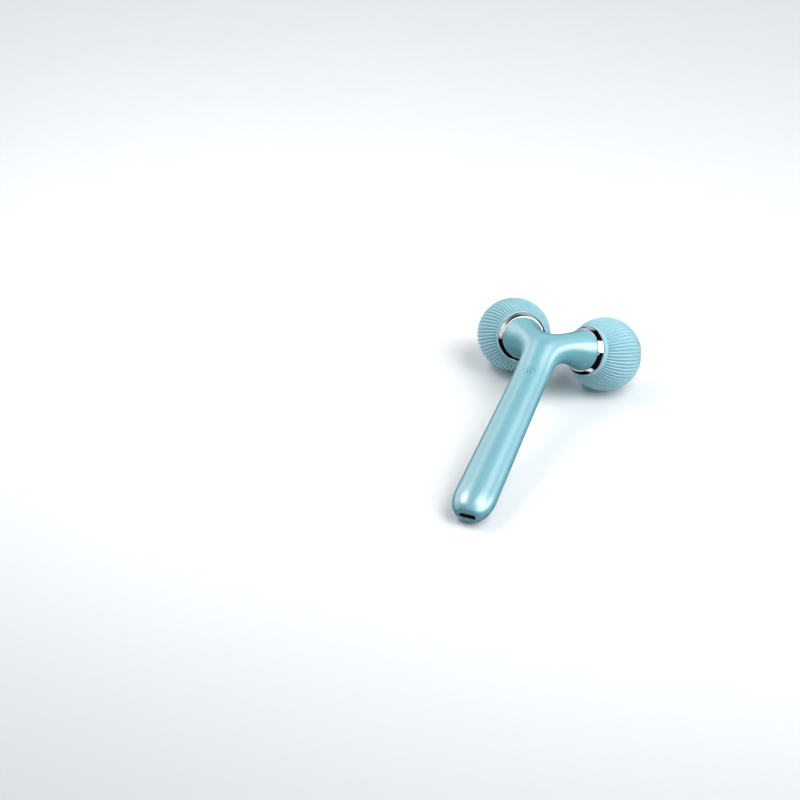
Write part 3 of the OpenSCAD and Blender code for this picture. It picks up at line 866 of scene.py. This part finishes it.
def layer(low, low_full, high_full, high, strength):
    """A band of sky between two heights, given as sines of the elevation."""
    split = wt.nodes.new("ShaderNodeSeparateXYZ")
    wt.links.new(ray.outputs["Generated"], split.inputs[0])
    out = []
    for a, b in ((low, low_full), (high, high_full)):
        step = wt.nodes.new("ShaderNodeMapRange")
        step.interpolation_type = "SMOOTHSTEP"
        step.inputs["From Min"].default_value = a
        step.inputs["From Max"].default_value = b
        wt.links.new(split.outputs["Z"], step.inputs["Value"])
        out.append(step.outputs["Result"])
    return sky_math("MULTIPLY", sky_math("MULTIPLY", out[0], out[1]), strength)


back_half = glow((0, 1, 0), 70, 100, 1.0)
pattern = sky_math("MULTIPLY", layer(-0.1, 0.25, 0.50, 0.70, 0.5), back_half)
for part in (glow(compass(72, 44), 21, 26, 3.5), glow(compass(-82, 12), 14, 30, 0.75),
             glow(compass(47, 19), 3, 5, 1.3), glow(compass(12, -58), 8, 15, 0.9),
             glow(compass(118, 15), 12, 24, 0.45), glow(compass(-122, 0), 12, 22, 0.4),
             glow(compass(-8, 28), 20, 34, 0.4), glow(compass(-50, 72), 10, 20, 0.5)):
    pattern = sky_math("ADD", pattern, part)
pattern = sky_math("ADD", pattern, 0.004)
kind = wt.nodes.new("ShaderNodeLightPath")
pale = sky_math("MULTIPLY", kind.outputs["Is Camera Ray"], 0.9)
rest = sky_math("MULTIPLY", sky_math("SUBTRACT", 1.0, kind.outputs["Is Camera Ray"]), pattern)
wt.links.new(sky_math("ADD", pale, rest), sky.inputs["Strength"])

chrome_only = bpy.data.collections.new("not_lit_by_softboxes")
for side in ("left", "right"):
    chrome_only.objects.link(bpy.data.objects[f"{side}_chrome_collar"])
for entry in chrome_only.collection_objects:
    entry.light_linking.link_state = "EXCLUDE"


def softbox(name, place, target, width, height, power):
    """A rectangular light that faces the target, with its height along the handle."""
    light = bpy.data.lights.new(name, "AREA")
    light.shape = "RECTANGLE"
    light.size, light.size_y = width, height
    light.energy = power
    obj = bpy.data.objects.new(name, light)
    scene.collection.objects.link(obj)
    obj.location = place
    look = (Vector(place) - Vector(target)).normalized()
    long_way = Vector(dir_to_row([0, 1.0, 0]))
    x = long_way.cross(look).normalized()
    turn = Matrix([list(x), list(look.cross(x)), list(look)]).transposed()
    obj.matrix_world = Matrix.Translation(place) @ turn.to_4x4()
    obj.light_linking.receiver_collection = chrome_only
    return obj


def beside_handle(turn, away, s):
    """A point at the given distance from the handle's axis, turned from straight above it towards +X."""
    a = math.radians(turn)
    return Vector(to_row([away * 1000 * math.sin(a), -s, away * 1000 * math.cos(a)]))


STRIP_AWAY = 0.45
for name, turn, width, far_power, near_power in (("strip_left", -38, 0.13, 0.20, 0.95),
                                                 ("strip_right", 25, 0.22, 0.35, 1.0)):
    for part, s_mid, length, widen, power in (("far", -315, 0.33, 1.0, far_power),
                                              ("near", -30, 0.24, 1.3, near_power)):
        softbox(f"{name}_{part}", beside_handle(turn, STRIP_AWAY, s_mid), beside_handle(turn, 0, s_mid),
                width * widen, length, power)
middle = Vector(to_row(np.array([0, -60.0, 0])))
softbox("front_top", middle + 1.3 * Vector(compass(10, 66)), middle, 1.0, 1.0, 0.7)
softbox("back_top", middle + 1.6 * Vector(compass(180, 58)), middle, 2.0, 1.6, 2.6)
softbox("side_left", middle + 1.2 * Vector(compass(-112, 20)), middle, 0.6, 1.0, 1.7)
softbox("side_right", middle + 1.2 * Vector(compass(100, 25)), middle, 0.5, 1.0, 4.9)
for name, direction, power in (("bounce_left", compass(-112, -28), 9.0),
                               ("bounce_right", compass(95, -25), 1.4)):
    bounce = softbox(name, middle + 1.2 * Vector(direction), middle, 1.2, 1.2, power)
    bounce.visible_glossy = False

# ---------------------------------------------------------------- camera
LENS, SENSOR = 215.9865, 36.0                   # mm
DISTANCE = 2.5996                               # metres from the middle of the two balls
VIEW_AZ, VIEW_EL, VIEW_ROLL = math.radians(11.76), math.radians(1.77), math.radians(11.9)
LOOK_RIGHT, LOOK_UP = math.radians(1.89973), math.radians(0.66727)
head_up = np.cross(side_axis, forward)
HEAD = np.stack([side_axis, forward, head_up])  # rows: across, along and over the two balls
back = np.array([math.sin(VIEW_AZ) * math.cos(VIEW_EL), -math.cos(VIEW_AZ) * math.cos(VIEW_EL),
                 math.sin(VIEW_EL)])
right = unit(np.cross([0, 0, 1.0], back))
above = np.cross(back, right)
c, s = math.cos(VIEW_ROLL), math.sin(VIEW_ROLL)
axes = np.stack([c * right + s * above, -s * right + c * above, back]) @ HEAD
mid = (ball["left"] + ball["right"]) / 2 * MM
place = mid + DISTANCE * axes[2]
cam_data = bpy.data.cameras.new("camera")
cam_data.sensor_width = SENSOR
cam_data.lens = LENS
cam_data.clip_start, cam_data.clip_end = 0.05, 50
cam = bpy.data.objects.new("camera", cam_data)
scene.collection.objects.link(cam)
turn = Matrix.Rotation(LOOK_RIGHT, 3, "Y") @ Matrix.Rotation(-LOOK_UP, 3, "X")
pose = Matrix([list(a) for a in axes]).transposed() @ turn
cam.matrix_world = Matrix.Translation(Vector(place)) @ pose.to_4x4()
scene.camera = cam
scene.view_settings.view_transform = "Standard"
